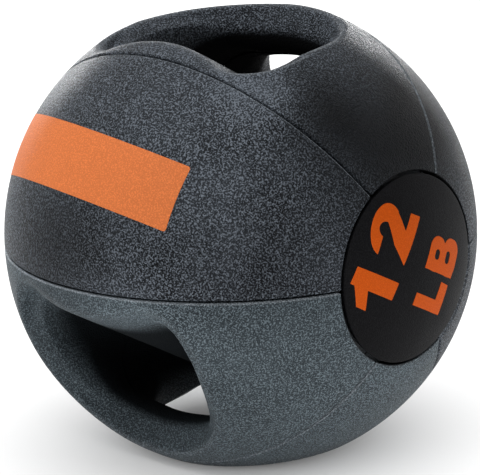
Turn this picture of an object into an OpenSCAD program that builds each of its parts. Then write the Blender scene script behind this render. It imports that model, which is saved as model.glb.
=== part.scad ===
// Dual-grip rubber medicine ball.
// A sand-weighted drum in two halves is covered with six rubber gores.
// Two straight hand channels run right through the ball, each bridged by a fixed grip bar.
// The ball is stored as it comes to rest: on the lower grip bar and the rear rim of its channel.
// Upright frame used by the modules: X through the two discs, -Y out of the label gore,
// Z out of the upper grip bar, centre of the ball at the origin.

/* [Ball] */
// Diameter of the ball over the rubber
ball_d = 250; // [230:1:290]
// Thickness of the rubber over the core
skin = 9; // [7:0.5:11]
// Thickness of the rubber under the channel floors
floor_skin = 12; // [9:0.5:14]
// Width of the grooves between the gores
seam_w = 1.8; // [1:0.1:3]
// Depth of the grooves between the gores
seam_depth = 1.4; // [1.1:0.1:2.4]
// Clearance between pieces that seat in each other
fit = 0.3; // [0.2:0.05:0.5]
// Depth of the flats where the rubber settles on the floor
rest_flat = 0.6; // [0.4:0.1:1]

/* [Grips] */
// Diameter of a grip bar
grip_d = 25; // [22:0.5:28]
// Finger room between a grip bar and the channel floor
grip_gap = 26; // [22:0.5:29]
// Clear width of a channel between its end walls
mouth_w = 123; // [110:1:130]
// How far the crown of a grip bar lies below the ball's surface
bar_drop = 0.6; // [0.4:0.1:2]
// Radius of the crown across the channel floor
floor_crown_r = 88; // [80:1:130]
// Fillet between the channel floor and its end walls
corner_r = 18.5; // [12:0.5:20]
// Radius by which a grip bar widens into the end walls
flare_r = 54; // [46:0.5:56]
// Slope of the widened ends down from the level
flare_slope = 23; // [20:0.5:26]
// Thickness of the web in the widened ends
web_t = 19; // [14:0.5:22]

/* [Weight discs] */
// Diameter of the discs at the two poles
disc_d = 98; // [80:1:108]
// Thickness of a disc
disc_t = 4; // [3:0.5:5]
// Width of the groove round a disc
disc_groove = 1.4; // [0.8:0.1:2]
// Diameter of the spigot that centres a disc
spigot_d = 28; // [20:1:40]

/* [Label patch] */
// Distance of the patch's far end from the groove round the plain disc
patch_clear = 14; // [10:0.5:60]
// Height of the patch
patch_h = 34.5; // [20:0.5:40]
// Thickness of the patch
patch_t = 0.9; // [0.7:0.1:1.5]
// End of the patch towards the weight disc, from the middle of the gore
patch_end = 53.5; // [48:0.5:58]
// Height of the patch's middle line where it crosses the middle of the gore
patch_rise = -1.5; // [-4:0.5:4]
// Slope of the patch
patch_tilt = 6.2; // [0:0.1:8]
// Corner radius of the patch
patch_r = 1.5; // [0.5:0.1:4]

/* [Core] */
// Wall of the hollow core
core_wall = 6; // [4:0.5:8]
// Thickness of the gasket between the core halves
gasket_t = 1.5; // [1:0.1:3]
// Diameter of the reinforcing rods in the grip bars
rod_d = 8; // [6:0.5:10]
// How far a rod lies below the middle of its grip bar
rod_drop = 2.5; // [1.5:0.1:3]
// How far a rod reaches into the rubber past the end wall
rod_hold = 20; // [14:0.5:24]
// Diameter of the anchor heads on a rod's ends
head_d = 13; // [11:0.5:15]
// Turn of the rod that an anchor head covers
head_turn = 3; // [2:0.5:4]
// Diameter of the fill plug
plug_d = 26; // [18:1:34]
// Width of the lip round the fill plug
plug_lip = 4; // [3:0.5:6]
// Level of the sand over the centre of the resting ball
sand_level = -14; // [-30:1:20]

/* [Hidden] */
$fn = 96;

rubber = "#2d3135";
disc_rubber = "#1c1d1f";
orange = "#e0763a";
core_grey = "#6f7378";
steel = "#b4b8bc";
sand = "#c8ae82";

gore_angle = 60;
seam_planes = 3;
far = 2 * ball_d;

// Grip bar and channel, measured from the ball's centre
ball_r = ball_d / 2;
bar_r = grip_d / 2;
bar_path_r = ball_r - bar_drop - bar_r;
wall_x = mouth_w / 2;
floor_z = bar_path_r - bar_r - grip_gap;
crown_z = floor_z - floor_crown_r;
bar_bury = skin / 2;
bar_half_angle = asin((wall_x + bar_bury) / bar_path_r);
corner_x = wall_x - corner_r;
corner_z = crown_z + sqrt(pow(floor_crown_r + corner_r, 2) - corner_x * corner_x);

// A grip bar is flush with the ball's surface. Its widened ends are two rounded legs that curve away
// from the bar, and a web between
leg_sink = 0.2;
web_sink = 0.2;
leg_bite = 0.5;
leg_r = bar_r - leg_sink;
leg_path_r = flare_r + leg_r;
leg_lift = 6;
leg_turn = 90;
shoulder_path_r = bar_path_r + leg_lift;
leg_start_x = wall_x + leg_bite - flare_r * cos(flare_slope);
leg_start_z = sqrt(shoulder_path_r * shoulder_path_r - leg_start_x * leg_start_x);
web_start = leg_start_x + leg_r;
web_floor_r = ball_r - web_t;
leg_drop = bar_drop / 2;
web_drop = bar_drop + web_sink;

// Discs and patch
disc_r = disc_d / 2;
spigot_r = spigot_d / 2;
disc_pocket_r = disc_r + disc_groove;
patch_fit = fit / 3;
patch_len = patch_end + sqrt(ball_r * ball_r - disc_pocket_r * disc_pocket_r) - patch_clear;

// Core, rods and plug
core_half_h = corner_z - corner_r - floor_skin;
core_inset = skin + fit;
hollow_inset = core_inset + core_wall;
sand_inset = hollow_inset + fit;
rod_r = rod_d / 2;
head_r = head_d / 2;
rod_path_r = bar_path_r - rod_drop;
rod_half_angle = asin((wall_x + rod_hold) / rod_path_r);
plug_r = plug_d / 2;

// Rest: the plane that touches the lower bar's edge and the rear rim of its channel
face_r = ball_r - leg_drop;
edge_z = (face_r * face_r - leg_r * leg_r + shoulder_path_r * shoulder_path_r) / (2 * shoulder_path_r);
edge_y = sqrt(face_r * face_r - edge_z * edge_z);
rim_y = sqrt(ball_r * ball_r - floor_z * floor_z);
rest_roll = atan2(edge_z - floor_z, rim_y - edge_y);
bar_height = edge_z * cos(rest_roll) + edge_y * sin(rest_roll);
end_height = sqrt(ball_r * ball_r - wall_x * wall_x);
centre_h = max(bar_height, end_height) - rest_flat;

// Places upright pieces in the resting pose on the floor
module at_rest() {
    translate([0, 0, centre_h]) rotate([-rest_roll, 0, 0]) children();
}

// Sphere whose poles lie on the X axis
module ball(r) {
    rotate([gore_angle / 4, 0, 0]) rotate([0, 90, 0]) sphere(r);
}

// Prism along Y from an outline in X and Z
module along_y(length) {
    rotate([90, 0, 0]) linear_extrude(height = length, center = true) children();
}

// Cylinder along X from the centre outwards on one side
module pole_rod(r, side) {
    rotate([gore_angle / 4, 0, 0]) rotate([0, side * 90, 0]) cylinder(r = r, h = far);
}

// Turns an upper piece to the upper or the lower grip
module to_grip(upper) {
    rotate([upper ? 0 : 180, 0, 0]) children();
}

// Fillet between the crowned floor and the end wall, on the +X side of the outline
module corner_fill() {
    touch = floor_crown_r / (floor_crown_r + corner_r);
    touch_point = [corner_x * touch, crown_z + (corner_z - crown_z) * touch];
    bury = corner_r / 4;
    foot_z = crown_z + sqrt(floor_crown_r * floor_crown_r - wall_x * wall_x) - bury;
    difference() {
        polygon([[corner_x, corner_z], [wall_x, corner_z], [wall_x, foot_z], touch_point]);
        translate([corner_x, corner_z]) circle(corner_r);
    }
}

// Upper hand channel
module channel() {
    along_y(far) difference() {
        translate([-wall_x, crown_z]) square([2 * wall_x, far]);
        translate([0, crown_z]) circle(floor_crown_r);
        for (side = [0, 1]) mirror([side, 0]) corner_fill();
    }
}

// Arc tube along the upper grip, over half_angle to each side of the middle
module grip_arc(path_r, r, half_angle) {
    rotate([90, 0, 0]) rotate([0, 0, 90 - half_angle])
        rotate_extrude(angle = 2 * half_angle) translate([path_r, 0]) circle(r);
}

// Rounded leg of the upper grip bar's widened +X end, on the +Y side
module flare_leg() {
    translate([leg_start_x, 0, leg_start_z]) rotate([0, flare_slope, 0])
        translate([0, leg_path_r, 0]) rotate([0, 0, -90])
            rotate_extrude(angle = leg_turn) translate([leg_path_r, 0]) circle(leg_r);
}

// Web between the legs of the upper grip bar's widened +X end
module flare_web() {
    length = wall_x + bar_bury - web_start;
    difference() {
        linear_extrude(height = far) difference() {
            translate([web_start, -leg_path_r]) square([length, 2 * leg_path_r]);
            for (side = [-1, 1])
                translate([leg_start_x, side * leg_path_r]) circle(leg_path_r);
        }
        rotate([90, 0, 0]) cylinder(r = web_floor_r, h = far, center = true);
    }
}

// Widened +X end of the upper grip bar, with the leg on one side of its middle plane
module flare(near_label) {
    intersection() {
        mirror([0, near_label ? 1 : 0, 0]) flare_leg();
        ball(face_r);
    }
    intersection() {
        flare_web();
        ball(ball_r - web_drop);
    }
}

// Upper grip bar, made for the gore on one side of its middle plane
module grip_bar(near_label) {
    grip_arc(bar_path_r, bar_r, bar_half_angle);
    intersection() {
        grip_arc(shoulder_path_r, leg_r, bar_half_angle);
        ball(face_r);
    }
    for (side = [0, 1]) mirror([side, 0, 0]) flare(near_label);
}

// Solid wedge of one gore, turned up from the label gore by turn degrees
module gore(turn) {
    edge = ball_d * [-cos(gore_angle / 2), sin(gore_angle / 2)];
    rotate([-turn, 0, 0]) rotate([90, 0, 90])
        linear_extrude(height = far, center = true) polygon([[0, 0], edge, [edge[0], -edge[1]]]);
}

module seam_grooves() {
    difference() {
        for (i = [0 : seam_planes - 1])
            rotate([gore_angle * i + gore_angle / 2, 0, 0]) cube([far, far, seam_w], center = true);
        ball(ball_r - seam_depth);
    }
}

// What the discs and their spigots take out of the skin
module disc_seats() {
    for (side = [-1, 1]) difference() {
        pole_rod(disc_pocket_r, side);
        ball(ball_r - disc_t);
    }
    for (side = [-1, 1]) pole_rod(spigot_r, side);
}

// Drum-shaped form inside the rubber, with flats under the two channels
module drum(inset) {
    half_h = core_half_h + skin - inset;
    intersection() {
        sphere(ball_r - inset);
        cube([far, far, 2 * half_h], center = true);
    }
}

// Ball of rubber with both channels cut
module rubber_ball() {
    difference() {
        ball(ball_r);
        channel();
        to_grip(false) channel();
        drum(skin);
    }
}

module gore_cut(turn) {
    difference() {
        intersection() {
            children();
            gore(turn);
        }
        seam_grooves();
        disc_seats();
    }
}

// Gore with half of a grip bar; turning to the lower grip swaps its label side and its far side
module grip_panel(turn, upper, front) {
    color(rubber) difference() {
        gore_cut(turn) union() {
            rubber_ball();
            to_grip(upper) grip_bar(upper == front);
        }
        to_grip(upper) rod_form(fit);
    }
}

module plain_panel(turn) {
    gore_cut(turn) rubber_ball();
}

// Prism of the label patch, grown all round
module patch_prism(grow) {
    w = patch_len + 2 * grow;
    h = patch_h + 2 * grow;
    r = patch_r + grow;
    translate([0, 0, patch_rise]) rotate([90, 0, 0]) rotate([0, 0, -patch_tilt])
        linear_extrude(height = far) translate([patch_end + grow - w, -h / 2]) {
            translate([r, 0]) square([w - 2 * r, h]);
            translate([0, r]) square([w, h - 2 * r]);
            for (x = [r, w - r], y = [r, h - r]) translate([x, y]) circle(r, $fn = 32);
        }
}

module label_panel() {
    color(rubber) difference() {
        plain_panel(0);
        difference() {
            patch_prism(patch_fit);
            ball(ball_r - patch_t);
        }
    }
}

module upper_front_panel() {
    grip_panel(gore_angle, true, true);
}

module upper_rear_panel() {
    grip_panel(2 * gore_angle, true, false);
}

module rear_panel() {
    color(rubber) plain_panel(3 * gore_angle);
}

module lower_rear_panel() {
    grip_panel(4 * gore_angle, false, false);
}

module lower_front_panel() {
    grip_panel(5 * gore_angle, false, true);
}

module pole_disc(side) {
    color(disc_rubber) {
        difference() {
            intersection() {
                pole_rod(disc_r, side);
                ball(ball_r);
            }
            ball(ball_r - disc_t + fit);
        }
        difference() {
            intersection() {
                pole_rod(spigot_r - fit, side);
                ball(ball_r - disc_t / 2);
            }
            ball(ball_r - skin);
        }
    }
}

module weight_disc() {
    pole_disc(1);
}

module plain_disc() {
    pole_disc(-1);
}

module label_patch() {
    color(orange) difference() {
        intersection() {
            patch_prism(0);
            ball(ball_r);
        }
        ball(ball_r - patch_t + patch_fit);
    }
}

module core_shell() {
    difference() {
        drum(core_inset);
        drum(hollow_inset);
    }
}

// Half of the core on the label side, or on the far side
module core_half(front) {
    color(core_grey) difference() {
        core_shell();
        translate([-far, front ? -gasket_t / 2 : gasket_t / 2 - far, -far])
            cube([2 * far, far, 2 * far]);
        if (!front) plug_form(fit);
    }
}

module front_core() {
    core_half(true);
}

module rear_core() {
    core_half(false);
}

module core_gasket() {
    color(disc_rubber) intersection() {
        core_shell();
        cube([far, gasket_t, far], center = true);
    }
}

// Stepped hole of the fill plug through the rear core wall, grown all round
module plug_form(grow) {
    seat_r = ball_r - core_inset - core_wall / 2;
    rotate([-90, 0, 0]) cylinder(r = plug_r + grow, h = far);
    difference() {
        rotate([-90, 0, 0]) cylinder(r = plug_r + plug_lip + grow, h = far);
        sphere(seat_r - grow);
    }
}

module fill_plug() {
    color(disc_rubber) difference() {
        intersection() {
            plug_form(0);
            sphere(ball_r - core_inset);
        }
        sphere(ball_r - hollow_inset);
    }
}

// Upper rod with an anchor head on each end, grown all round
module rod_form(grow) {
    grip_arc(rod_path_r, rod_r + grow, rod_half_angle);
    for (side = [-1, 1]) rotate([0, side * (rod_half_angle - head_turn / 2), 0])
        grip_arc(rod_path_r, head_r + grow, head_turn / 2 + asin(grow / rod_path_r));
}

module grip_rod(upper) {
    color(steel) to_grip(upper) rod_form(0);
}

module upper_grip_rod() {
    grip_rod(true);
}

module lower_grip_rod() {
    grip_rod(false);
}

module sand_fill() {
    color(sand) difference() {
        drum(sand_inset);
        rotate([rest_roll, 0, 0]) translate([-far, -far, sand_level]) cube([2 * far, 2 * far, far]);
    }
}

// Cuts a piece flat where it settles on the floor
module settled() {
    difference() {
        children();
        translate([-far, -far, -far]) cube([2 * far, 2 * far, far]);
    }
}

at_rest() label_panel();
at_rest() upper_front_panel();
at_rest() upper_rear_panel();
at_rest() rear_panel();
settled() at_rest() lower_rear_panel();
at_rest() lower_front_panel();
at_rest() weight_disc();
at_rest() plain_disc();
at_rest() label_patch();
at_rest() front_core();
at_rest() rear_core();
at_rest() core_gasket();
at_rest() fill_plug();
at_rest() sand_fill();
at_rest() upper_grip_rod();
at_rest() lower_grip_rod();
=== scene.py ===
# %% [markdown]
# # A medicine ball with two grip bars
# The ball is black pebbled rubber, moulded as six gores that meet in fine grooves. Two straight
# hand channels run through it, and each is bridged by a fixed grip bar. A disc closes each pole,
# one of them with the weight on it, and an orange patch is let into the front gore.
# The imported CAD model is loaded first: it is the fixed frame that every new surface has to fit.

# %% The frame
import bpy
import numpy as np
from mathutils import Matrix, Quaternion, Vector


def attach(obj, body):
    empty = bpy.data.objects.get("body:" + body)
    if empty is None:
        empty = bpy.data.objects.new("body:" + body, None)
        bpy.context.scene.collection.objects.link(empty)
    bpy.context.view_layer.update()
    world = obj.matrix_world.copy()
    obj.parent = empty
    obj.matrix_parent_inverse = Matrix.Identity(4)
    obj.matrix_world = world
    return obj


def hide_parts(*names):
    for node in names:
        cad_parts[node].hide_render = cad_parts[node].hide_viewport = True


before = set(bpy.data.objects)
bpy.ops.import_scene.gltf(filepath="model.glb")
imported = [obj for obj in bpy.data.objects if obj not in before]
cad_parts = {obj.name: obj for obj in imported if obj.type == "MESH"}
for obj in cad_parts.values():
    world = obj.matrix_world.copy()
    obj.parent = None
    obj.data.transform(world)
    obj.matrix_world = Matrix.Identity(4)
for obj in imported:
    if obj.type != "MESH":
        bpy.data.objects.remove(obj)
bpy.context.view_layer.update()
scene = bpy.context.scene
scene.view_settings.view_transform = "Standard"

# %% [markdown]
# ## The ball's own sizes
# The surfaces are easiest to write for an upright ball: X runs through the two discs, -Y out of the
# label gore and Z out of the upper bar, in millimetres. The real ball has rolled back until its
# lower bar and the rear rim of the lower channel both touch the floor. The objects could be turned
# to that pose, but a finished piece has to sit unturned at the origin, so one function turns the
# points instead. The sizes repeat those of the CAD model.

# %% Sizes
MM = 0.001
BALL_R = 125.0
SKIN = 9.0  # rubber over the drum
DRUM_HALF_H = 52.33  # flat faces of the drum under the channels
HALF_GORE = np.radians(30.0)
BAR_R = 12.5
BAR_DROP = 0.6  # crown of a bar below the ball's surface
BAR_PATH_R = BALL_R - BAR_DROP - BAR_R
FINGER_ROOM = 26.0
WALL_X = 61.5  # end walls of a channel
FLOOR_Z = BAR_PATH_R - BAR_R - FINGER_ROOM
FLOOR_CROWN_R = 88.0
CROWN_Z = FLOOR_Z - FLOOR_CROWN_R
CORNER_R = 18.5
CORNER_X = WALL_X - CORNER_R
CORNER_UP = np.sqrt((FLOOR_CROWN_R + CORNER_R) ** 2 - CORNER_X**2)
print("channel %.1f mm wide, its floor %.1f mm from the ball's centre" % (2 * WALL_X, FLOOR_Z))

# %% Resting pose
LEG_SINK, LEG_LIFT = 0.2, 6.0  # the CAD bar's legs: slimmer than the bar, on a higher arc
REST_FLAT = 0.6  # how far the rubber settles on the floor
face_r, leg_r, leg_arc_r = BALL_R - BAR_DROP / 2, BAR_R - LEG_SINK, BAR_PATH_R + LEG_LIFT
edge_z = (face_r**2 - leg_r**2 + leg_arc_r**2) / (2 * leg_arc_r)
edge_y = np.sqrt(face_r**2 - edge_z**2)
ROLL = np.arctan2(edge_z - FLOOR_Z, np.sqrt(BALL_R**2 - FLOOR_Z**2) - edge_y)
CENTRE_H = edge_z * np.cos(ROLL) + edge_y * np.sin(ROLL) - REST_FLAT


def to_floor(points):
    """Resting place of upright points: a turn by -ROLL about X, a lift by CENTRE_H, then metres."""
    x, y, z = np.moveaxis(points, -1, 0)
    c, s = np.cos(ROLL), np.sin(ROLL)
    return MM * np.stack([x, c * y + s * z, CENTRE_H - s * y + c * z], -1)


print("ball rolled back by %.2f degrees, centre %.2f mm up" % (np.degrees(ROLL), CENTRE_H))

# %% [markdown]
# ## The camera
# The photograph was taken from far away, about fourteen ball radii, so the outline is almost a true
# circle. A near camera with a wide lens would swell the front of the ball. The camera stands at that
# distance, to the label's right and a little above, and looks at a point just under the ball's
# centre. It is tipped about X, to see the ball at the same angle as the photograph does.

# %% Camera
VIEW_AZ, VIEW_EL, VIEW_TIP = np.radians([42.76, 13.67, -2.75])
CAMERA_DISTANCE = 1.75
AIM_OFF = Vector((-0.0004, -0.0029, 0))
LENS, SENSOR = 247.8, 36
centre = Vector((0, 0, CENTRE_H * MM))


def on_sphere(azimuth, elevation, distance):
    """Point at a distance from the ball's centre: azimuth 0 lies on -Y, and 90 degrees on +X."""
    flat = np.cos(elevation)
    out = Vector((np.sin(azimuth) * flat, -np.cos(azimuth) * flat, np.sin(elevation)))
    return centre + distance * out


camera = bpy.data.objects.new("camera", bpy.data.cameras.new("camera"))
scene.collection.objects.link(camera)
back = (on_sphere(VIEW_AZ, VIEW_EL, 1) - centre).normalized()
turn = (-back).to_track_quat("-Z", "Y")
tip = Quaternion((1, 0, 0), VIEW_TIP)
back, turn = tip @ back, tip @ turn
camera.rotation_mode = "QUATERNION"
camera.rotation_quaternion = turn
camera.location = centre + turn @ AIM_OFF + CAMERA_DISTANCE * back
camera.data.lens, camera.data.sensor_width = LENS, SENSOR
camera.data.clip_start, camera.data.clip_end = 0.05, 50
scene.camera = camera
print("camera at", [round(v, 3) for v in camera.location])

# %% [markdown]
# ## From arrays to a mesh
# Every piece below ends as an array of points and an array of four-sided faces. Which way round the
# faces run depends on how the surface was written. Blender can recalculate normals, but one helper
# that measures the signed volume, and turns the faces over when it is negative, is sure and quick.

# %% Mesh helpers
SMOOTH_UP_TO = np.radians(40)


def outward(points, quads):
    """Faces in the order that points out: the sum of corner . (corner x corner) over all triangles
    is six times the volume, and it is negative when the faces look inwards."""
    a, b, c, d = (points[quads[:, i]] for i in range(4))
    volume = np.einsum("ij,ij->", a, np.cross(b, c)) + np.einsum("ij,ij->", a, np.cross(c, d))
    return quads if volume > 0 else quads[:, ::-1]


def make_piece(name, points, quads, material, slot, nodes):
    """Mesh object at the origin from resting points in metres, smooth but for edges over
    SMOOTH_UP_TO. At a pole a face has one corner twice, so it is written as a triangle."""
    mesh = bpy.data.meshes.new(name)
    faces = [list(dict.fromkeys(face)) for face in outward(points, quads).tolist()]
    mesh.from_pydata(points.tolist(), [], faces)
    mesh.validate()
    mesh.polygons.foreach_set("use_smooth", np.ones(len(mesh.polygons), bool))
    mesh.set_sharp_from_angle(angle=SMOOTH_UP_TO)
    mesh.materials.append(material)
    obj = bpy.data.objects.new(name, mesh)
    scene.collection.objects.link(obj)
    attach(obj, "root")
    if nodes:
        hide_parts(*nodes)
    print("%-22s %6d points %6d faces" % (name, len(points), len(quads)))
    return obj


# %% Grid helpers
def slab(outer, inner):
    """Closed plate between two grids of points of one size: both grids, and a wall round the edge."""
    rows, cols = outer.shape[:2]
    index = np.arange(rows * cols).reshape(rows, cols)
    cells = np.stack([index[:-1, :-1], index[1:, :-1], index[1:, 1:], index[:-1, 1:]], -1).reshape(-1, 4)
    rim = np.concatenate([index[:-1, 0], index[-1, :-1], index[:0:-1, -1], index[0, :0:-1]])
    ahead = np.roll(rim, -1)
    under = rows * cols
    wall = np.stack([ahead, rim, rim + under, ahead + under], -1)
    points = np.concatenate([outer.reshape(-1, 3), inner.reshape(-1, 3)])
    return points, np.concatenate([cells, cells[:, ::-1] + under, wall])


def spaced(*stretches):
    """Grid line positions from stretches (start, end, step), each divided evenly."""
    lines = [np.linspace(a, b, max(2, int(round(abs(b - a) / step)) + 1)) for a, b, step in stretches]
    return np.unique(np.round(np.concatenate(lines), 6))


print("grid lines, close together first:", spaced((0, 1, 0.5), (1, 4, 1.5)))

# %% [markdown]
# ## Shared finishes
# Pebbled rubber is covered with small irregular grains about a millimetre across. As geometry they
# would take millions of faces, so they are a pattern in the material. All pieces use it, each with
# its own fineness, so it is a node group. A second group gives the slow drift from darker to lighter
# that handled rubber shows. A third reads the light and shade painted on the gores, which is worked
# out for each point of their meshes further down: patches of painted light and shade, painted shade
# in the channels, and painted highlights on the edges that face up.

# %% Node helpers
def new_group(name, inputs, outputs):
    """Empty shader node group with float or vector inputs and float outputs."""
    group = bpy.data.node_groups.new(name, "ShaderNodeTree")
    for label, kind, value in inputs:
        socket = group.interface.new_socket(label, in_out="INPUT", socket_type=kind)
        if value is not None:
            socket.default_value = value
    for label in outputs:
        group.interface.new_socket(label, in_out="OUTPUT", socket_type="NodeSocketFloat")
    return group, group.nodes.new("NodeGroupInput").outputs, group.nodes.new("NodeGroupOutput").inputs


def feed(tree, socket, value):
    """Links an input to a socket, or sets it to a plain value."""
    if isinstance(value, bpy.types.NodeSocket):
        tree.links.new(value, socket)
    else:
        socket.default_value = value


def math_node(tree, operation, a, b):
    """Math node; a and b are sockets or plain numbers."""
    node = tree.nodes.new("ShaderNodeMath")
    node.operation = operation
    feed(tree, node.inputs[0], a)
    feed(tree, node.inputs[1], b)
    return node.outputs[0]


def map_range(tree, value, low, high, to_low=0.0, to_high=1.0):
    """Map Range node from low..high to to_low..to_high, clamped."""
    node = tree.nodes.new("ShaderNodeMapRange")
    keys = ("Value", "From Min", "From Max", "To Min", "To Max")
    for key, number in zip(keys, (value, low, high, to_low, to_high)):
        feed(tree, node.inputs[key], number)
    return node.outputs[0]


def noise(tree, vector, scale, detail, roughness):
    """Noise texture; scale is a socket with the number of features per metre."""
    node = tree.nodes.new("ShaderNodeTexNoise")
    keys = ("Vector", "Scale", "Detail", "Roughness")
    for key, value in zip(keys, (vector, scale, detail, roughness)):
        feed(tree, node.inputs[key], value)
    return node.outputs["Fac"]


def attribute(tree, name):
    """Value of a mesh attribute."""
    node = tree.nodes.new("ShaderNodeAttribute")
    node.attribute_name = name
    return node.outputs["Fac"]


print("node helpers:", [f.__name__ for f in (new_group, feed, math_node, map_range, noise, attribute)])

# %% Group: pebble grain
DOME_SHARE, SPECKLE_SHARE = 0.35, 0.65
CREST_LOW, CREST_HIGH, CREST_POWER = 0.25, 0.8, 1.5

grain_group, g_in, g_out = new_group(
    "pebble grain",
    [("Vector", "NodeSocketVector", None), ("Grains per metre", "NodeSocketFloat", 900.0)],
    ["Height", "Crest"],
)
pebbles = grain_group.nodes.new("ShaderNodeTexVoronoi")
pebbles.feature = "SMOOTH_F1"
pebbles.inputs["Smoothness"].default_value = 0.4
grain_group.links.new(g_in["Vector"], pebbles.inputs["Vector"])
grain_group.links.new(g_in["Grains per metre"], pebbles.inputs["Scale"])
dome = map_range(grain_group, pebbles.outputs["Distance"], 0.0, 0.75, 1.0, 0.0)
speckle = noise(grain_group, g_in["Vector"], g_in["Grains per metre"], 1.0, 0.5)
speckle = map_range(grain_group, speckle, 0.36, 0.64)
height = math_node(grain_group, "ADD", math_node(grain_group, "MULTIPLY", dome, DOME_SHARE),
                   math_node(grain_group, "MULTIPLY", speckle, SPECKLE_SHARE))
grain_group.links.new(height, g_out["Height"])
crest = map_range(grain_group, height, CREST_LOW, CREST_HIGH)
grain_group.links.new(math_node(grain_group, "POWER", crest, CREST_POWER), g_out["Crest"])
print("pebble grain:", len(grain_group.nodes), "nodes")

# %% Groups: handling drift and painted light
DRIFT_PATCHES = 30.0  # per metre
EDGE_HIGHLIGHT_LEAST = 0.4  # painted highlight left in the pits between the grains

drift_group, d_in, d_out = new_group(
    "handling drift",
    [("Vector", "NodeSocketVector", None), ("Patches per metre", "NodeSocketFloat", DRIFT_PATCHES)],
    ["Drift"],
)
slow = noise(drift_group, d_in["Vector"], d_in["Patches per metre"], 4.0, 0.55)
drift_group.links.new(map_range(drift_group, slow, 0.3, 0.7), d_out["Drift"])

painted_light_group, w_in, w_out = new_group(
    "painted light on the ball", [("Crest", "NodeSocketFloat", 0.0)], ["Dust", "Channel shade", "Edge highlight"])
# Painted light and shade: the colour's lightness is scaled by one plus the patches.
patch_light = math_node(painted_light_group, "ADD", attribute(painted_light_group, "painted_light"), 1.0)
painted_light_group.links.new(patch_light, w_out["Dust"])
# Painted shade in the channels.
painted_light_group.links.new(attribute(painted_light_group, "channel_shade"), w_out["Channel shade"])
# Painted highlight on the edges that face up, weaker in the pits between the grains.
edge_highlight = map_range(painted_light_group, w_in["Crest"], 0, 1, EDGE_HIGHLIGHT_LEAST, 1.0)
edge_highlight = math_node(painted_light_group, "MULTIPLY", attribute(painted_light_group, "edge"), edge_highlight)
painted_light_group.links.new(edge_highlight, w_out["Edge highlight"])
print("node groups:", [g.name for g in bpy.data.node_groups])

# %% [markdown]
# ## Materials
# Each finish could be a material drawn by hand, but they all follow one recipe: the grain group
# drives the bump and most of the colour, and the drift group changes colour and roughness slowly.
# The values make the difference. Four gores are coarse and full of contrast, and the two lower ones
# are a calmer, lighter copy of that rubber, which paints in the light bounced up from the floor. The
# discs are fine and nearly black, the patch and the mark are orange. Only the gores have the painted
# light and shade. The pieces inside keep their CAD meshes and get a finish here too.

# %% The recipe
CREST_SHARE = 0.85  # of the lightness; the drift gives the rest
CHANNEL_SHADE_SHARE = 0.3  # of the dark colour, as painted shade deep in the channels
# Grey of the painted highlight on the edges that face up.
EDGE_HIGHLIGHT_GREY = (0.38, 0.42, 0.46)


def mix_colour(tree, factor, a, b):
    """Mix node between the colours a and b; a may be a socket."""
    node = tree.nodes.new("ShaderNodeMix")
    node.data_type = "RGBA"
    tree.links.new(factor, node.inputs["Factor"])
    for key, colour in (("A", a), ("B", b)):
        feed(tree, node.inputs[key], colour if isinstance(colour, bpy.types.NodeSocket) else (*colour, 1))
    return node.outputs["Result"]


def place_group(tree, group, values):
    """Outputs of a node group placed in a material, with its inputs fed by name."""
    node = tree.nodes.new("ShaderNodeGroup")
    node.node_tree = group
    for label, value in values.items():
        feed(tree, node.inputs[label], value)
    return node.outputs


def finish(name, dark, light, grains, depth, rough, specular=0.25, metallic=0.0, ball=False):
    """Principled material: colour from dark to light with crest and drift, bump of depth metres. A
    finish of the ball itself also has painted light and shade: lighter or darker by the painted
    patches, plain and nearly black as painted shade in the channels, grey as a painted highlight on
    edges that face up."""
    material = bpy.data.materials.new(name)
    material.use_nodes = True
    tree = material.node_tree
    shader = tree.nodes["Principled BSDF"]
    place = tree.nodes.new("ShaderNodeTexCoord").outputs["Object"]
    grain = place_group(tree, grain_group, {"Vector": place, "Grains per metre": grains})
    drift = place_group(tree, drift_group, {"Vector": place, "Patches per metre": DRIFT_PATCHES})["Drift"]
    lightness = math_node(tree, "ADD", math_node(tree, "MULTIPLY", grain["Crest"], CREST_SHARE),
                          math_node(tree, "MULTIPLY", drift, 1 - CREST_SHARE))
    roughness = map_range(tree, drift, 0, 1, *rough)
    if ball:
        painted = place_group(tree, painted_light_group, {"Crest": grain["Crest"]})
        # Painted light and shade of the patches.
        lightness = math_node(tree, "MULTIPLY", lightness, painted["Dust"])
        roughness = math_node(tree, "MAXIMUM", roughness, painted["Channel shade"])
    colour = mix_colour(tree, lightness, dark, light)
    if ball:
        # Painted shade in the channels, a plain colour near black.
        colour = mix_colour(tree, painted["Channel shade"], colour, [CHANNEL_SHADE_SHARE * c for c in dark])
        # Painted highlight on the edges that face up.
        colour = mix_colour(tree, painted["Edge highlight"], colour, EDGE_HIGHLIGHT_GREY)
    bump = tree.nodes.new("ShaderNodeBump")
    bump.inputs["Strength"].default_value = 1.0
    bump.inputs["Distance"].default_value = depth
    tree.links.new(grain["Height"], bump.inputs["Height"])
    tree.links.new(colour, shader.inputs["Base Color"])
    tree.links.new(roughness, shader.inputs["Roughness"])
    tree.links.new(bump.outputs["Normal"], shader.inputs["Normal"])
    shader.inputs["Specular IOR Level"].default_value = specular
    shader.inputs["Metallic"].default_value = metallic
    return material


print("recipe: %d%% grain, %d%% drift" % (round(100 * CREST_SHARE), round(100 - 100 * CREST_SHARE)))

# %% Finishes of the pieces that show
gore_rubber = finish(
    "pebbled rubber", (0.0015, 0.002, 0.003), (0.175, 0.2, 0.235), 1150, 0.0008, (0.38, 0.5),
    specular=0.07, ball=True)
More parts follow.
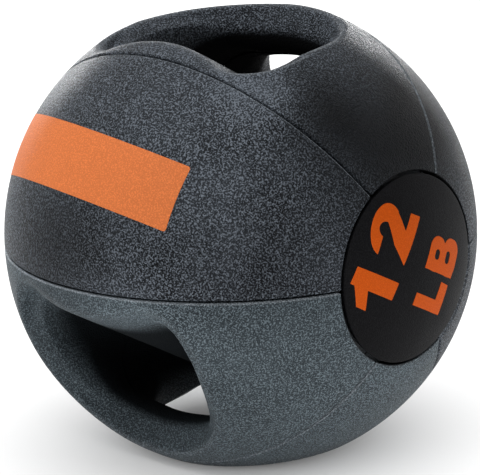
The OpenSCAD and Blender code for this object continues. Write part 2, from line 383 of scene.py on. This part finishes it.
# Lighter, calmer copy of the gore rubber for the two lower gores: painted bounce light from the floor.
bounce_lit_rubber = finish(
    "rubber with painted floor bounce", (0.026, 0.033, 0.039), (0.2, 0.25, 0.28), 1250, 0.0006, (0.4, 0.5),
    specular=0.07, ball=True)
disc_rubber = finish(
    "fine disc rubber", (0.003, 0.003, 0.0035), (0.011, 0.011, 0.0125), 1600, 0.0001, (0.42, 0.52),
    specular=0.04)
patch_orange = finish(
    "orange patch", (0.60, 0.16, 0.048), (0.80, 0.225, 0.066), 1300, 0.0002, (0.5, 0.6),
    specular=0.08)
mark_orange = finish(
    "printed orange", (0.62, 0.09, 0.006), (0.74, 0.12, 0.009), 1700, 0.00008, (0.45, 0.55),
    specular=0.05)
shown = (gore_rubber, bounce_lit_rubber, disc_rubber, patch_orange, mark_orange)
print("shown:", [material.name for material in shown])

# %% Finishes of the pieces inside
core_plastic = finish(
    "core plastic", (0.13, 0.14, 0.155), (0.19, 0.20, 0.215), 400, 0.0001, (0.4, 0.55))
seal_rubber = finish(
    "seal rubber", (0.012, 0.012, 0.013), (0.024, 0.024, 0.026), 1200, 0.0001, (0.55, 0.7))
dry_sand = finish(
    "dry sand", (0.38, 0.26, 0.13), (0.70, 0.52, 0.30), 1400, 0.0005, (0.8, 0.95))
drawn_steel = finish(
    "drawn steel", (0.40, 0.42, 0.44), (0.52, 0.54, 0.56), 700, 0.00004, (0.25, 0.4), metallic=1.0)

inside_finish = {
    "front_core": core_plastic, "rear_core": core_plastic, "core_gasket": seal_rubber,
    "fill_plug": seal_rubber, "sand_fill": dry_sand,
    "upper_grip_rod": drawn_steel, "lower_grip_rod": drawn_steel,
}
for node, material in inside_finish.items():
    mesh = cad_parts[node].data
    mesh.materials.clear()
    mesh.materials.append(material)
print("inside:", {node: material.name for node, material in inside_finish.items()})

# %% [markdown]
# ## Painted light and shade on the gores
# Highlights and shade are painted into the rubber's colour: some places lighter, others darker, and
# the edges that face up light grey. Noise alone would put that anywhere. So a few soft patches are
# laid on the ball by place, and the mesh stores for each point how much it is lightened or darkened
# and how much of a painted edge highlight it has.

# %% Painted light patches and edge highlights
# Each patch is a place on the upright ball, its reach and its amount, above nought for painted light and
# below for painted shade; the opposite place has it too.
PAINTED_LIGHT_PATCHES = (
    (78, -96, 20, 34, 0.25), (63, -93, 55, 13, 1.5), (86, -69, 59, 22, -0.85),
    (113, -37, 38, 26, -0.65), (108, 1, 63, 26, -0.6), (90, -9, 87, 22, -0.75),
    (-14, -117, -41, 26, -0.65), (95, -78, -15, 28, -0.3), (0, -45, -116, 30, -0.4),
    (-50, -70, -90, 30, -0.3), (42, -95, -70, 16, 0.6), (105, 14, -66, 26, 0.35),
)
SEAM_PLANES = 3
EDGE_ANY, EDGE_SEAM = 0.35, 0.55  # painted highlight on any edge, and what a seam adds
LEAN_FULL, LEAN_FROM = 0.3, 0.2  # how far an edge leans up to get its painted highlight
EDGE_DEPTH = 1.2


def set_attribute(obj, name, value):
    """One number for each point of a mesh, for the materials to read."""
    obj.data.attributes.new(name, "FLOAT", "POINT").data.foreach_set("value", value.astype(np.float32))


def paint_light_over(obj, upright):
    """Attributes of a gore. The first is painted light and shade, a sum of bells, amount *
    exp(-distance^2 / (2 reach^2)). "edge" is a painted highlight that grows where the normal leans up
    from the ball's own, near the surface, and more at a seam."""
    normal = np.empty(3 * len(upright), np.float32)
    obj.data.vertex_normals.foreach_get("vector", normal)
    normal = normal.reshape(-1, 3)
    r = np.sqrt((upright**2).sum(-1))
    out = (to_floor(upright) - to_floor(np.zeros(3))) / (MM * r[:, None])
    leans_up = normal[:, 2] - (normal * out).sum(-1) * out[:, 2]
    turn = np.arctan2(upright[:, 2], -upright[:, 1])
    ring = np.hypot(upright[:, 1], upright[:, 2])
    off_seam = np.abs(np.cos(SEAM_PLANES * turn)) * ring / SEAM_PLANES
    # Painted highlight on edges: some on any edge, more at a seam, and only where the edge leans up.
    edge = EDGE_ANY + EDGE_SEAM * np.clip(2 - off_seam, 0, 1)
    edge *= np.clip(leans_up / LEAN_FULL - LEAN_FROM, 0, 1)
    edge *= np.clip(2 - (BALL_R - r) / EDGE_DEPTH, 0, 1)
    painted_light = np.zeros(len(upright))
    for *place, reach, amount in PAINTED_LIGHT_PATCHES:
        for side in (1, -1):
            painted_light += amount * np.exp(-((upright - side * np.array(place)) ** 2).sum(-1) / (2 * reach**2))
    set_attribute(obj, "painted_light", painted_light)
    set_attribute(obj, "edge", edge)


print("dust:", len(PAINTED_LIGHT_PATCHES), "patches and their opposites")

# %% [markdown]
# ## The plain gores
# The label gore and the one opposite it are slices of a thick ball shell. On the real ball each gore
# edge is rounded, and two rounded edges side by side make the groove of a seam. A sphere with a
# bevel could give that, but not with even rows along the seams. So a gore is a grid of polar angle
# from the disc by turn about the ball's axis, with its lines close together at the edges. Its depth
# grows in a quarter circle towards the seam planes and towards the disc.

# %% Label gore and rear gore
SEAM_GAP = 0.45  # from a gore's edge to the seam plane
LIP_R = 1.2
DEEPEST_LIP = 1.3 * LIP_R
DISC_SEAT_R = 50.0
GORE_ARC = 178  # length of the grid's rows from disc to disc, in the stretches below
MID_LINES = 77


def lip(distance):
    """Depth of a rounded edge at a distance from it: a quarter circle of radius LIP_R."""
    back_off = LIP_R - np.clip(distance, 0, LIP_R)
    return LIP_R - np.sqrt(LIP_R**2 - back_off**2)


def plain_gore():
    """Slab of the label gore: outer grid at BALL_R less the lip depths, inner grid at the drum. A
    grid line lies at a distance from the seam plane, or at a share of the turn between the last."""
    start = np.arcsin(DISC_SEAT_R / BALL_R)
    from_disc = spaced((0, LIP_R, 0.2), (LIP_R, 3, 0.6), (3, 16, 1.3), (16, GORE_ARC, 1.7))
    polar = start + from_disc / GORE_ARC * (np.pi - 2 * start)
    ends = spaced((0, LIP_R, 0.2), (LIP_R, 4, 0.7))
    edge = np.concatenate([ends, np.full(MID_LINES, ends[-1]), ends[::-1]])
    share = np.linspace(-1, 1, MID_LINES + 2)[1:-1]
    across = np.concatenate([np.full(len(ends), -1), share, np.full(len(ends), 1)])
    polar, edge = np.meshgrid(polar, edge, indexing="ij")
    end_dist = BALL_R * np.minimum(polar - start, np.pi - start - polar)
    r = BALL_R - np.minimum(lip(edge) + lip(end_dist), DEEPEST_LIP)
    turn = across * (HALF_GORE - np.arcsin((SEAM_GAP + edge) / (r * np.sin(polar))))
    way = np.stack([np.cos(polar), -np.sin(polar) * np.cos(turn), np.sin(polar) * np.sin(turn)], -1)
    drum = np.minimum(BALL_R - SKIN, DRUM_HALF_H / np.maximum(np.abs(way[..., 2]), 1e-6))
    return r[..., None] * way, drum[..., None] * way


outer, inner = plain_gore()
for name, side, nodes in (("label_gore", 1, ["label_panel"]), ("rear_gore", -1, ["rear_panel"])):
    points, quads = slab(side * outer, side * inner)
    paint_light_over(make_piece(name, to_floor(points), quads, gore_rubber, "rubber", nodes), points)

# %% [markdown]
# ## The gores with the grip bars
# Each of these four gores carries a quarter of a hand channel and half of a grip bar, and the finger
# room makes a hole right through. No single grid can wrap round such a shape, and Boolean cuts with
# bevels are apt to fail where so many curved faces cross. So it is written as a field: a number that
# is negative inside the rubber and nought on its skin. Fields are easy to join with rounded edges.
# The skin is then found on a grid of cells, one point per cell that it crosses, and each point is
# drawn onto it.

# %% Rounded joins
def rounded_max(a, b, r):
    """What two solids share: the larger field, with the outer edge rounded by a circle of radius r."""
    return np.minimum(-r, np.maximum(a, b)) + np.hypot(np.maximum(a + r, 0), np.maximum(b + r, 0))


def rounded_min(a, b, r):
    """Two solids together: the smaller field, with the inner corner filled by radius r."""
    return -rounded_max(-a, -b, r)


def smooth_step(t):
    """Rise from 0 to 1 that is level at both ends: 3 t^2 - 2 t^3, with t kept between 0 and 1."""
    t = np.clip(t, 0, 1)
    return t * t * (3 - 2 * t)


print("a corner 5 mm from two walls, rounded by 10 mm: %.2f" % rounded_max(-5.0, -5.0, 10.0))

# %% The rubber field
RIM_R = 4.0
FILLET_R = 30.0
FILLET_DEPTH = 10.0  # below the surface, where the fillet has its full radius
FILLET_LEAST = 0.05
FLARE_R = 50.0
WEB_HALF = 9.5  # half the thickness of a bar's widened ends


def channel(x, z):
    """Hand channel: between the end walls and over a floor that is a cylinder about Y. A circle that
    touches both rounds the corner, and counts from its centre down to the line to the cylinder's."""
    side, up = np.abs(x), z - CROWN_Z
    straight = np.maximum(side - WALL_X, FLOOR_CROWN_R - np.hypot(side, up))
    corner = np.hypot(side - CORNER_X, up - CORNER_UP) - CORNER_R
    return np.where((up < CORNER_UP) & (side * CORNER_UP > CORNER_X * up), corner, straight)


def grip_bar(x, y, depth):
    """Bar flush with the ball and round inside. Beside it the way in is a rectangle with its corners
    rounded by FLARE_R, so the bar widens until it runs into the end walls, and thins to a web."""
    way_in = rounded_max(np.abs(x) - WALL_X, BAR_R - np.abs(y), FLARE_R)
    aside = np.maximum(-way_in, np.abs(y) - BAR_R - FLARE_R)
    half_t = BAR_R + (WEB_HALF - BAR_R) * smooth_step((np.abs(x) - WALL_X) / FLARE_R + 1)
    return rounded_max(aside, depth - 2 * half_t, half_t)


def rubber(p):
    """Everything round the channel, with the bar joined in by a fillet that grows with the depth, and
    of that the part inside the ball, rounded at the rim."""
    x, y, z = np.moveaxis(p, -1, 0)
    depth = BALL_R - np.sqrt(x * x + y * y + z * z)
    fillet = FILLET_R * np.clip(depth / FILLET_DEPTH, FILLET_LEAST, 1)
    return rounded_max(-depth, rounded_min(-channel(x, z), grip_bar(x, y, depth), fillet), RIM_R)


def grip_gore(p):
    """Rubber between the seam planes at 30 and 90 degrees from the label, outside disc and drum."""
    x, y, z = np.moveaxis(p, -1, 0)
    solid = rounded_max(rubber(p), SEAM_GAP - np.sin(HALF_GORE) * y - np.cos(HALF_GORE) * z, LIP_R)
    solid = rounded_max(solid, y + SEAM_GAP, LIP_R)
    solid = rounded_max(solid, DISC_SEAT_R - np.hypot(y, z), LIP_R)
    r = np.sqrt(x * x + y * y + z * z)
    return np.maximum(solid, -np.maximum(r - BALL_R + SKIN, np.abs(z) - DRUM_HALF_H))


tried = np.array([[0, 0, BAR_PATH_R], [0, 0, FLOOR_Z + FINGER_ROOM / 2]])
print("field in the middle of the bar and in the finger room:", rubber(tried).round(1))

# %% Finding the skin of a field
SLOPE_STEP = 0.01
FLATTEST = 0.1  # least squared slope that a move divides by
MOST_MOVE = 0.6
PASSES = 4


def slope_of(field, points):
    """Gradient of a field, from its values a small step to both sides along each axis."""
    steps = SLOPE_STEP * np.eye(3)
    return np.stack([(field(points + s) - field(points - s)) / (2 * SLOPE_STEP) for s in steps], -1)


def skin_of(field, lines, place):
    """Closed mesh where a field is nought. A cell with corners on both sides gets one point, the mean
    of the crossings on its edges; four cells round a crossed edge share a face. Then each point
    moves along the field's slope by field / slope, a few times."""
    grid = place(*np.meshgrid(*lines, indexing="ij"))
    value = field(grid)
    inside = value < 0
    corner = np.array([(i, j, k) for i in (0, 1) for j in (0, 1) for k in (0, 1)])
    ni, nj, nk = np.array(inside.shape) - 1
    counts = sum(inside[i:ni + i, j:nj + j, k:nk + k].astype(int) for i, j, k in corner)
    crossed = (counts > 0) & (counts < 8)
    at = np.argwhere(crossed)
    number = np.full(crossed.shape, -1)
    number[crossed] = np.arange(len(at))
    pick = tuple(np.moveaxis(at[:, None, :] + corner, -1, 0))
    v, p = value[pick], grid[pick]
    pairs = [(m, n) for m in range(8) for n in range(m + 1, 8) if abs(corner[m] - corner[n]).sum() == 1]
    a, b = np.array(pairs).T
    cut = (v[:, a] < 0) != (v[:, b] < 0)
    share = np.where(cut, v[:, a] / np.where(cut, v[:, a] - v[:, b], 1), 0)
    mids = p[:, a] + share[..., None] * (p[:, b] - p[:, a])
    points = (mids * cut[..., None]).sum(1) / cut.sum(1)[:, None]
    quads = []
    for axis in range(3):
        order = (axis, (axis + 1) % 3, (axis + 2) % 3)
        filled, cell = (np.moveaxis(array, order, (0, 1, 2)) for array in (inside, number))
        low, high = filled[:-1], filled[1:]
        i, j, k = np.nonzero((low != high)[:, 1:-1, 1:-1])
        ring = np.stack([cell[i, j, k], cell[i, j + 1, k], cell[i, j + 1, k + 1], cell[i, j, k + 1]], -1)
        leaving = low[i, j + 1, k + 1]
        quads.append(np.where(leaving[:, None], ring, ring[:, ::-1]))
    for _ in range(PASSES):
        slope = slope_of(field, points)
        move = (field(points) / np.maximum((slope**2).sum(-1), FLATTEST))[:, None] * slope
        points = points - np.clip(move, -MOST_MOVE, MOST_MOVE)
    return points, np.concatenate(quads)


def about_axis(x, turn, ring):
    """Upright point at x, turned about X from the label by turn degrees, ring from the axis."""
    turn = np.radians(turn)
    return np.stack([x, -ring * np.cos(turn), ring * np.sin(turn)], -1)


# Grid lines are close together at the disc and at both seams, where the lips are.
half = spaced((0, 109, 1.5), (109, 111.5, 0.8), (111.5, 116, 0.4))
lines_x = np.unique(np.concatenate([-half, half]))
near = spaced((-0.5, 1.3, 0.15), (1.3, 3.3, 0.4))
lines_turn = np.unique(np.concatenate([30 + near, spaced((33.3, 86.7, 0.66)), 90 - near]))
lines_ring = spaced((48.5, 50, 0.75), (50, 53.2, 0.4), (53.2, 127, 1.45))
gore_points, gore_quads = skin_of(grip_gore, (lines_x, lines_turn, lines_ring), about_axis)
print("grid", len(lines_x), len(lines_turn), len(lines_ring), "faces", len(gore_quads))

# %% Painted shade inside the channels
# Deep places, faces that look inwards and the back of the bar see little light, so their colour is
# painted shade, plain and near black, where the painted patches don't show.
SUNK_FROM, SUNK_OVER = 11, 16
INWARD_FULL, BEHIND_FULL = 0.4, 0.3
BEHIND_DEPTH, BEHIND_FROM = 6, 0.3

depth = BALL_R - np.sqrt((gore_points**2).sum(-1))
slope = slope_of(grip_gore, gore_points)
slope /= np.maximum(np.sqrt((slope**2).sum(-1)), 1e-9)[:, None]
ring = np.hypot(gore_points[:, 1], gore_points[:, 2])
inward = -(slope * gore_points)[:, 1:].sum(-1) / ring
behind = np.clip(slope[:, 1] / BEHIND_FULL, 0, 1) * np.clip(depth / BEHIND_DEPTH - BEHIND_FROM, 0, 1)
sunk = smooth_step((depth - SUNK_FROM) / SUNK_OVER)
channel_shade = np.max([sunk, np.clip(inward / INWARD_FULL, 0, 1), behind], axis=0)
print("sheltered: %.0f%% of the points" % (100 * (channel_shade > 0.5).mean()))

# %% Four gores from one
for name, sides, material, nodes in (
    ("upper_front_gore", (1, 1, 1), gore_rubber, ["upper_front_panel"]),
    ("upper_rear_gore", (1, -1, 1), gore_rubber, ["upper_rear_panel"]),
    ("lower_front_gore", (1, 1, -1), bounce_lit_rubber, ["lower_front_panel"]),
    ("lower_rear_gore", (1, -1, -1), bounce_lit_rubber, ["lower_rear_panel"]),
):
    upright = np.array(sides) * gore_points
    settled = to_floor(upright)
    settled[:, 2] = np.maximum(settled[:, 2], 0)
    obj = make_piece(name, settled, gore_quads, material, "rubber", nodes)
    paint_light_over(obj, upright)
    set_attribute(obj, "channel_shade", channel_shade)

# %% [markdown]
# ## The discs
# A disc closes each pole. Its face follows the ball, its rim is rounded, and a spigot on its back
# centres it in the gores. A cylinder with a bevel would have a flat face, so a profile is turned
# about the ball's axis instead.

# %% Discs
DISC_R = 49.0
DISC_T = 3.7
DISC_LIP = 0.9
SPIGOT_R = 13.7
DOME_LINES, RIM_LINES, BACK_LINES, ROUND_LINES = 46, 6, 8, 192


def disc(side):
    """Profile (polar angle, radius) turned about X: dome, rounded rim, back and spigot, closed on the
    axis. Points that no face uses are dropped."""
    full, foot, lip_angle = np.arcsin(DISC_R / BALL_R), np.arcsin(SPIGOT_R / BALL_R), DISC_LIP / BALL_R
    back_r, end_r = BALL_R - DISC_T, BALL_R - SKIN
    rim = np.linspace(0, np.pi / 2, RIM_LINES + 1)[1:]
    polar = np.concatenate([
        np.linspace(0, full - lip_angle, DOME_LINES), full - lip_angle + lip_angle * np.sin(rim),
        [full, full], np.linspace(full, foot, BACK_LINES + 1)[1:], [foot, 0]])
    r = np.concatenate([
        np.full(DOME_LINES, BALL_R), BALL_R - DISC_LIP * (1 - np.cos(rim)),
        [BALL_R - DISC_T / 2, back_r], np.full(BACK_LINES, back_r), [end_r, end_r]])[:, None]
    polar, spin = np.meshgrid(polar, np.linspace(0, 2 * np.pi, ROUND_LINES + 1)[:-1], indexing="ij")
    ring = r * np.sin(polar)
    points = np.stack([side * r * np.cos(polar), ring * np.cos(spin), ring * np.sin(spin)], -1)
    rows, cols = polar.shape
    index = np.arange(rows * cols).reshape(rows, cols)
    index[0], index[-1] = 0, (rows - 1) * cols
    ahead = np.roll(index, -1, 1)
    quads = np.stack([index[:-1], index[1:], ahead[1:], ahead[:-1]], -1).reshape(-1, 4)
    used, renumbered = np.unique(quads, return_inverse=True)
    return to_floor(points.reshape(-1, 3)[used]), renumbered.reshape(quads.shape)


make_piece("marked_disc", *disc(1), disc_rubber, "disc", ["weight_disc"])
make_piece("bare_disc", *disc(-1), disc_rubber, "disc", ["plain_disc"])

# %% [markdown]
# ## The patch
# The orange patch is a thin plate let into the label gore, a little proud of the rubber, and it
# slopes down towards the marked disc. A flat plate could be shrink-wrapped onto the ball, but its
# edges would stretch. It is a grid of length by height, thrown straight onto the ball's surface.

# %% Label patch
PATCH_LEN, PATCH_H = 153.9, 34.5
PATCH_END, PATCH_RISE = 53.5, -1.5
PATCH_TILT = np.radians(6.2)
PATCH_R = 1.5
PATCH_PROUD, PATCH_SUNK = 0.12, 0.8
PATCH_ROWS = 33


def patch(r):
    """Grid on the sphere of radius r: rows run along the patch, the height shrinks in a quarter
    circle of radius PATCH_R at both ends, and y follows from x, z and r."""
    far = PATCH_LEN - PATCH_R
    run = spaced((0, PATCH_R, 0.25), (PATCH_R, far, 2.0), (far, PATCH_LEN, 0.25))
    end = np.clip(np.minimum(run, PATCH_LEN - run), 0, PATCH_R)
    half_h = PATCH_H / 2 - PATCH_R + np.sqrt(PATCH_R**2 - (PATCH_R - end) ** 2)
    run, up = np.meshgrid(PATCH_END - PATCH_LEN + run, np.linspace(-1, 1, PATCH_ROWS), indexing="ij")
    up = up * half_h[:, None]
    x = run * np.cos(PATCH_TILT) + up * np.sin(PATCH_TILT)
    z = PATCH_RISE - run * np.sin(PATCH_TILT) + up * np.cos(PATCH_TILT)
    return np.stack([x, -np.sqrt(r * r - x * x - z * z), z], -1)


points, quads = slab(patch(BALL_R + PATCH_PROUD), patch(BALL_R - PATCH_SUNK))
make_piece("orange_patch", to_floor(points), quads, patch_orange, "label", ["label_patch"])

# %% [markdown]
# ## The weight mark
# The disc carries a plain weight in bold strokes, printed in orange. A text object has the shapes of
# its font and lies flat. Here each sign is a flat field made of boxes, rings and polygons, and the
# same skin finder turns it into a thin raised layer on the disc. The signs read upwards along the
# bars, with their tops towards the label. All numbers are millimetres on the disc's face.

# %% Flat shapes
def box_field(u, v, u0, u1, v0, v1, r=0.0):
    """Rectangle with corners rounded to r: distance from its edge, negative inside."""
    a = np.abs(u - (u0 + u1) / 2) - (u1 - u0) / 2
    b = np.abs(v - (v0 + v1) / 2) - (v1 - v0) / 2
    return rounded_max(a, b, r) if r else np.maximum(a, b)


def polygon_field(u, v, *corners):
    """Convex shape with its corners in turn: the largest distance outside any of its edges."""
    ahead = corners[1:] + corners[:1]
    return np.max([((u - a) * (d - b) - (v - b) * (c - a)) / np.hypot(c - a, d - b)
                   for (a, b), (c, d) in zip(corners, ahead)], axis=0)


print("middle of a 4 mm box:", box_field(0.0, 0.0, -2, 2, -2, 2))

# %% Signs
def one(u, v):
    """Stem with a slanted flag."""
    flag = polygon_field(u, v, (-29.5, 26.2), (-19.8, 30.4), (-12, 41.3), (-16, 41.3), (-29.2, 32.5))
    return np.minimum(box_field(u, v, -19.8, -10.4, 13.8, 41.3), flag)


def two(u, v):
    """Upper and right part of an oval ring, a slanted stroke and a foot."""
    oval = 9.1 * (np.hypot((u - 12.1) / 13.4, (v - 31.6) / 9.1) - 1)
    ring = np.maximum(oval, 3.9 - np.hypot(u - 12.1, v - 32.1))
    ring = np.maximum(ring, np.minimum(32.8 - v, np.maximum(12.1 - u, 26.5 - v)))
    slant = polygon_field(u, v, (-1.4, 14.8), (9, 14), (19, 22.9), (24.6, 28.2), (16, 31.5), (6.5, 24.7))
    foot = polygon_field(u, v, (-1.4, 14.8), (25.3, 11.4), (25, 18.1), (11.5, 20.1), (4, 20.4))
    return np.minimum(np.minimum(ring, slant), foot)


def letter_l(u, v):
    """Stem and foot."""
    stem = polygon_field(u, v, (-16.3, -27.8), (-9.8, -27.2), (-10.8, -1.3), (-17.5, -1.8))
    foot = polygon_field(u, v, (-16.3, -27.8), (-0.4, -26.6), (-0.4, -19), (-16.8, -19.2))
    return np.minimum(stem, foot)


def letter_b(u, v):
    """Two rounded boxes squared off by the stem, less their counters."""
    upper, lower = box_field(u, v, 2.4, 20.5, -14.6, -1.2, 6), box_field(u, v, 3, 22.5, -28.4, -12.9, 6.5)
    stem = polygon_field(u, v, (3.4, -27.4), (10, -28.2), (9, -1.1), (2.3, -0.9))
    body = np.minimum(np.minimum(upper, lower), stem)
    holes = np.minimum(box_field(u, v, 8.7, 14, -10.4, -6.4, 1.8),
                       box_field(u, v, 9.1, 15.6, -20.5, -16.4, 1.9))
    return np.maximum(body, -holes)


print("signs:", [sign.__name__ for sign in (one, two, letter_l, letter_b)])

# %% Weight mark
MARK_PROUD, MARK_SUNK = 0.15, 0.5
MARK_EDGE_R = 0.1
MARK_STEP = 0.4


def mark(p):
    """Signs cut from a thin shell on the disc, with a fine rounded edge."""
    u, v = p[..., 2], -p[..., 1]
    signs = np.minimum(np.minimum(one(u, v), two(u, v)), np.minimum(letter_l(u, v), letter_b(u, v)))
    r = np.sqrt((p**2).sum(-1))
    shell = np.maximum(r - BALL_R - MARK_PROUD, BALL_R - MARK_SUNK - r)
    return rounded_max(signs, shell, MARK_EDGE_R)


def on_disc(u, v, r):
    """Point of the marked disc's face, u along the bars and v towards the label."""
    return np.stack([np.sqrt(r * r - u * u - v * v), -v, u], -1)


lines_u, lines_v = spaced((-31, 27, MARK_STEP)), spaced((-30, 43, MARK_STEP))
lines_r = BALL_R + np.linspace(-0.8, 0.4, 9)
mark_points, mark_quads = skin_of(mark, (lines_u, lines_v, lines_r), on_disc)
make_piece("weight_mark", to_floor(mark_points), mark_quads, mark_orange, "label", [])

# %% [markdown]
# ## Floor and light
# The photograph has a white floor without a horizon. More light would bleach the ball too, so the
# world is white to the camera and dim as a light, and the floor has a wide sun of its own that
# leaves the ball alone. The floor is white then everywhere but in the soft shadow under the ball.

# %% Floor and world
FLOOR_HALF = 6
FLOOR_WHITE = 0.85
FLOOR_GLOW = 0.08
WORLD_SEEN, WORLD_LIGHT = 1.0, 0.06


def white_to_camera(tree, strength_seen, strength_else):
    """Value that is one number for camera, glossy and see-through rays and another for the rest."""
    path = tree.nodes.new("ShaderNodeLightPath").outputs
    seen = math_node(tree, "MAXIMUM", path["Is Camera Ray"], path["Is Transmission Ray"])
    seen = math_node(tree, "MAXIMUM", seen, path["Is Glossy Ray"])
    return map_range(tree, seen, 0, 1, strength_else, strength_seen)


floor_mesh = bpy.data.meshes.new("floor")
corners = [(FLOOR_HALF * x, FLOOR_HALF * y, 0) for x, y in ((-1, -1), (1, -1), (1, 1), (-1, 1))]
floor_mesh.from_pydata(corners, [], [(0, 1, 2, 3)])
floor = bpy.data.objects.new("floor", floor_mesh)
scene.collection.objects.link(floor)
floor_white = bpy.data.materials.new("white floor")
floor_white.use_nodes = True
tree = floor_white.node_tree
tree.nodes.remove(tree.nodes["Principled BSDF"])
matt = tree.nodes.new("ShaderNodeBsdfDiffuse")
matt.inputs["Color"].default_value = (FLOOR_WHITE, FLOOR_WHITE, FLOOR_WHITE, 1)
glow = tree.nodes.new("ShaderNodeEmission")
tree.links.new(white_to_camera(tree, FLOOR_GLOW, 0.0), glow.inputs["Strength"])
both = tree.nodes.new("ShaderNodeAddShader")
tree.links.new(matt.outputs[0], both.inputs[0])
tree.links.new(glow.outputs[0], both.inputs[1])
tree.links.new(both.outputs[0], tree.nodes["Material Output"].inputs["Surface"])
floor_mesh.materials.append(floor_white)

world = bpy.data.worlds.new("studio")
scene.world = world
world.use_nodes = True
sky = world.node_tree.nodes["Background"]
sky.inputs["Color"].default_value = (1, 1, 1, 1)
strength = white_to_camera(world.node_tree, WORLD_SEEN, WORLD_LIGHT)
world.node_tree.links.new(strength, sky.inputs["Strength"])
print("floor %d m wide, world %.2f as a light" % (2 * FLOOR_HALF, WORLD_LIGHT))

# %% [markdown]
# ## Lamps
# The ball has a soft key high on the left, a soft front lamp, and three small lamps behind it, which
# draw the bright lines along its edges. They leave the floor out, by light linking, because their
# shadows would cross there. The floor's sun is the other way round: it reaches the floor alone.

# %% Lamps
LAMPS = {  # angles from the camera's azimuth and from the level, distance, size, power
    "key": (-90, 65, 1.6, 0.5, 16),
    "front": (-15, 45, 1.6, 0.5, 7.5),
    "back_left": (-160, 7, 1.4, 0.3, 4),
    "back_right": (164, 9, 1.4, 0.25, 4),
    "back_top": (180, 55, 1.4, 0.3, 0.8),
}
SUN_POWER, SUN_SPREAD, SUN_DISTANCE = 4.8, np.radians(170), 3


def facing(name, light, azimuth, elevation, distance):
    """Lamp round the ball, at angles from the camera's own, facing the ball."""
    obj = bpy.data.objects.new(name, light)
    scene.collection.objects.link(obj)
    obj.location = on_sphere(VIEW_AZ + np.radians(azimuth), np.radians(elevation), distance)
    obj.rotation_euler = (obj.location - centre).to_track_quat("Z", "Y").to_euler()
    return obj


not_floor = bpy.data.collections.new("all but the floor")
not_floor.objects.link(floor)
not_floor.collection_objects[0].light_linking.link_state = "EXCLUDE"
for name, (azimuth, elevation, distance, size, power) in LAMPS.items():
    light = bpy.data.lights.new(name, "AREA")
    light.size, light.energy = size, power
    facing(name, light, azimuth, elevation, distance).light_linking.receiver_collection = not_floor

floor_sun = bpy.data.lights.new("floor_sun", "SUN")
floor_sun.energy, floor_sun.angle = SUN_POWER, SUN_SPREAD
only_floor = bpy.data.collections.new("the floor alone")
only_floor.objects.link(floor)
facing("floor_sun", floor_sun, 0, 90, SUN_DISTANCE).light_linking.receiver_collection = only_floor
